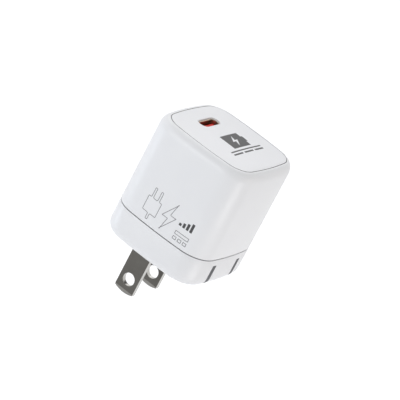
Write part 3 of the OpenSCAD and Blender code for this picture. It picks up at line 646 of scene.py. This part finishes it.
# the corners of each shape, and the left, low, right and high sides of each oblong
frontMarks = dict(
    plug=[(-6.4, 12.6), (-4.4, 12.6), (-4.4, 10.8), (-3.6, 10.8), (-3.6, 12.6), (-1.6, 12.6),
          (-1.6, 17.2), (-2.5, 17.2), (-2.5, 20.2), (-3.3, 20.2), (-3.3, 17.2), (-4.7, 17.2),
          (-4.7, 20.2), (-5.5, 20.2), (-5.5, 17.2), (-6.4, 17.2)],
    bolt=[(3.1, 20.2), (-0.4, 14.8), (1.6, 14.8), (0.7, 10.8), (4.2, 16.2), (2.2, 16.2)],
    direct=[(5.4, 12.5, 10.0, 13.6), (5.4, 10.9, 6.6, 11.9), (7.1, 10.9, 8.3, 11.9), (8.8, 10.9, 10.0, 11.9)],
    bars=[(5.4, 15.3, 6.2, 16.1), (6.6, 15.3, 7.4, 16.7), (7.8, 15.3, 8.6, 17.3), (9.0, 15.3, 9.8, 18.0)],
)
topMarks = dict(
    battery=[(-0.9, -4.5), (4.7, -4.5), (4.7, 4.2), (3.0, 4.2), (3.0, 5.0), (0.8, 5.0), (0.8, 4.2),
             (-0.9, 4.2)],
    bolt=[(-0.3, 0.55), (2.2, -1.65), (2.2, -0.25), (4.1, -0.85), (1.6, 1.35), (1.6, -0.05)],
    lines=[(5.5, -7.8, 5.95, 7.8), (6.55, -7.8, 7.1, -3.2), (6.55, -2.3, 7.1, 2.3), (6.55, 3.2, 7.1, 7.8)],
)


def oblong(sides):
    left, low, right, high = sides
    return [(left, low), (right, low), (right, high), (left, high)]


def drawOutline(bm, points):
    ring = [bm.verts.new((x, y, 0)) for x, y in points]
    return ring, [bm.edges.new((ring[i], ring[i - 1])) for i in range(len(ring))]


def drawSoftShape(bm, points, soft):
    ring, edges = drawOutline(bm, points)
    bmesh.ops.contextual_create(bm, geom=edges)
    bmesh.ops.bevel(bm, geom=ring, offset=soft, offset_type="OFFSET", segments=mark["softSteps"],
                    profile=0.5, affect="VERTICES", material=-1)


def printFilm(name, bm, target, plane, rayStart, finish):
    # cuts flat ink shapes into small tiles, lays them on the surface below, and gives them a thin body
    low = [min(v.co[i] for v in bm.verts) for i in (0, 1)]
    high = [max(v.co[i] for v in bm.verts) for i in (0, 1)]
    for axis in (0, 1):
        normal = Vector((axis == 0, axis == 1, 0))
        for n in range(1, math.ceil((high[axis] - low[axis]) / mark["tile"])):
            cutAcross(bm, normal * (low[axis] + n * mark["tile"]), normal)
    flat = bm.verts[:]
    made = bmesh.ops.extrude_face_region(bm, geom=bm.faces[:], use_keep_orig=True)["geom"]
    raised = only(bmesh.types.BMVert, made)
    surface = BVHTree.FromObject(target, bpy.context.evaluated_depsgraph_get())
    bm.transform(plane)
    reach = Vector(rayStart)
    for vertices, depth in ((flat, -mark["sunk"]), (raised, mark["proud"])):
        for vertex in vertices:
            point, normal, *_ = surface.ray_cast((vertex.co + reach) * mm, -reach)
            vertex.co = point / mm + normal * depth
    settle(makeObject(name, bm, (finish,)), "charger", "black_plastic")


def buildMarks():
    front = Matrix.Rotation(math.pi / 2, 4, "X")
    # drawn full, then all but a thin line along each outline is taken away
    bm = bmesh.new()
    drawSoftShape(bm, frontMarks["plug"], mark["soft"])
    drawSoftShape(bm, frontMarks["bolt"], mark["fineSoft"])
    for sides in frontMarks["direct"]:
        drawSoftShape(bm, oblong(sides), mark["fineSoft"])
    inner = bm.faces[:]
    bmesh.ops.inset_region(bm, faces=inner, use_boundary=True, thickness=mark["stroke"],
                           use_even_offset=True)
    bmesh.ops.delete(bm, geom=inner, context="FACES")
    printFilm("front_line_marks", bm, housingShell, front, mark["frontReach"], looks["lineInk"])
    bm = bmesh.new()
    for sides in frontMarks["bars"]:
        drawSoftShape(bm, oblong(sides), mark["fineSoft"])
    printFilm("front_bar_marks", bm, housingShell, front, mark["frontReach"], looks["printInk"])
    bm = bmesh.new()
    edges = drawOutline(bm, topMarks["battery"])[1] + drawOutline(bm, topMarks["bolt"])[1]
    bmesh.ops.triangle_fill(bm, use_beauty=True, edges=edges)
    for sides in topMarks["lines"]:
        drawSoftShape(bm, oblong(sides), mark["fineSoft"])
    printFilm("top_marks", bm, topCover, Matrix.Identity(4), mark["topReach"], looks["printInk"])


buildMarks()

camera = dict(place=(0.286343, -0.687731, 0.337123), turn=(64.108, -25.3848, 34.3042),
              lens=265.45, sensor=36, sees=(0.01, 20))
cameraData = bpy.data.cameras.new("camera")
cameraData.lens = camera["lens"]
cameraData.sensor_width = camera["sensor"]
cameraData.clip_start, cameraData.clip_end = camera["sees"]
cameraObject = bpy.data.objects.new("camera", cameraData)
cameraObject.location = camera["place"]
cameraObject.rotation_euler = [math.radians(a) for a in camera["turn"]]
bpy.context.scene.collection.objects.link(cameraObject)
bpy.context.scene.camera = cameraObject

# sizes in metres, and the charger stands clear of the floor; floorLift and skySeen make the background
# white to the eye, and skyLight is what the sky adds to the lamps
studio = dict(floorSize=6.0, floorDrop=0.1, colour="#F2F3F5", speck="#EFF0F2", speckScale=40.0,
              floorLift=0.38, skySeen=1.0, skyLight=0.59)


def seenRays(tree, kinds=("Is Camera Ray", "Is Glossy Ray", "Is Transmission Ray")):
    # 1 for the kinds of ray that should meet a white studio, 0 for the light itself
    rays = addNode(tree, "ShaderNodeLightPath")
    total = rays.outputs[kinds[0]]
    for kind in kinds[1:]:
        either = addNode(tree, "ShaderNodeMath", {"operation": "MAXIMUM"}, {0: total, 1: rays.outputs[kind]})
        total = either.outputs[0]
    return total


def buildFloor():
    bm = bmesh.new()
    bmesh.ops.create_grid(bm, x_segments=2, y_segments=2, size=studio["floorSize"] / 2 / mm,
                          matrix=Matrix.Translation((0, 0, bladeLow.z - studio["floorDrop"] / mm)))
    material, tree, shader, place = startMaterial("paleFloor", {"Roughness": 0.9})
    speckle = addNode(tree, "ShaderNodeTexNoise", {"Scale": studio["speckScale"], "Detail": 2.0},
                      {"Vector": place})
    tone = addNode(tree, "ShaderNodeMix", {"data_type": "RGBA", 6: hexColour(studio["colour"]),
                                           7: hexColour(studio["speck"])}, {0: speckle.outputs["Fac"]})
    tree.links.new(tone.outputs[2], shader.inputs["Base Color"])
    tree.links.new(tone.outputs[2], shader.inputs["Emission Color"])
    glow = addNode(tree, "ShaderNodeMapRange", {"To Min": 0.0, "To Max": studio["floorLift"]},
                   {"Value": seenRays(tree)})
    tree.links.new(glow.outputs["Result"], shader.inputs["Emission Strength"])
    return makeObject("floor", bm, (material,))


buildFloor()

lamps = {
    # a broad softbox above and behind, which lights the cover and leaves its near edge a little darker
    "overheadSoftbox": dict(place=(-0.3, 0.35, 0.62), size=(0.7, 0.7), power=1.74, tint="#FFFFFF"),
    # a small one high on the left, which lifts the rounded rim over the front
    "rimSoftbox": dict(place=(-0.72, -0.5, 0.38), size=(0.3, 0.3), power=0.35, tint="#FBFCFF"),
    # one for each upright side that is seen or borders what is seen, all set low
    "frontSoftbox": dict(place=(-0.3, -0.8, 0.12), size=(0.5, 0.4), power=1.5, tint="#FBFDFF"),
    "rightSoftbox": dict(place=(0.8, 0.3, 0.12), size=(0.4, 0.4), power=0.64, tint="#FFF4EA"),
    "leftSoftbox": dict(place=(-0.75, -0.15, 0.12), size=(0.4, 0.4), power=0.14, tint="#F4F9FF"),
    # low strips, which draw a soft bright line down the left and the near corner
    "leftStrip": dict(place=(-0.203, -0.065, -0.064), size=(0.05, 0.09), power=0.031, tint="#E8F3FF"),
    "cornerStrip": dict(place=(0.203, -0.045, -0.064), size=(0.085, 0.09), power=0.07, tint="#FFFAF6"),
}
aim = Vector((0, 0, 0.015))
for name, lamp in lamps.items():
    data = bpy.data.lights.new(name, "AREA")
    data.shape = "RECTANGLE"
    data.size, data.size_y = lamp["size"]
    data.energy = lamp["power"]
    data.color = hexColour(lamp["tint"])[:3]
    lampObject = bpy.data.objects.new(name, data)
    lampObject.location = lamp["place"]
    lampObject.rotation_euler = (aim - Vector(lamp["place"])).to_track_quat("-Z", "Y").to_euler()
    bpy.context.scene.collection.objects.link(lampObject)

world = bpy.data.worlds.new("studio")
bpy.context.scene.world = world
world.use_nodes = True
worldTree = world.node_tree
worldTree.nodes.clear()
strength = addNode(worldTree, "ShaderNodeMapRange",
                   {"To Min": studio["skyLight"], "To Max": studio["skySeen"]},
                   {"Value": seenRays(worldTree)})
sky = addNode(worldTree, "ShaderNodeBackground", {"Color": (1, 1, 1, 1)},
              {"Strength": strength.outputs["Result"]})
addNode(worldTree, "ShaderNodeOutputWorld", links={"Surface": sky.outputs[0]})
bpy.context.scene.view_settings.view_transform = "Standard"
print("camera, lamps and floor")
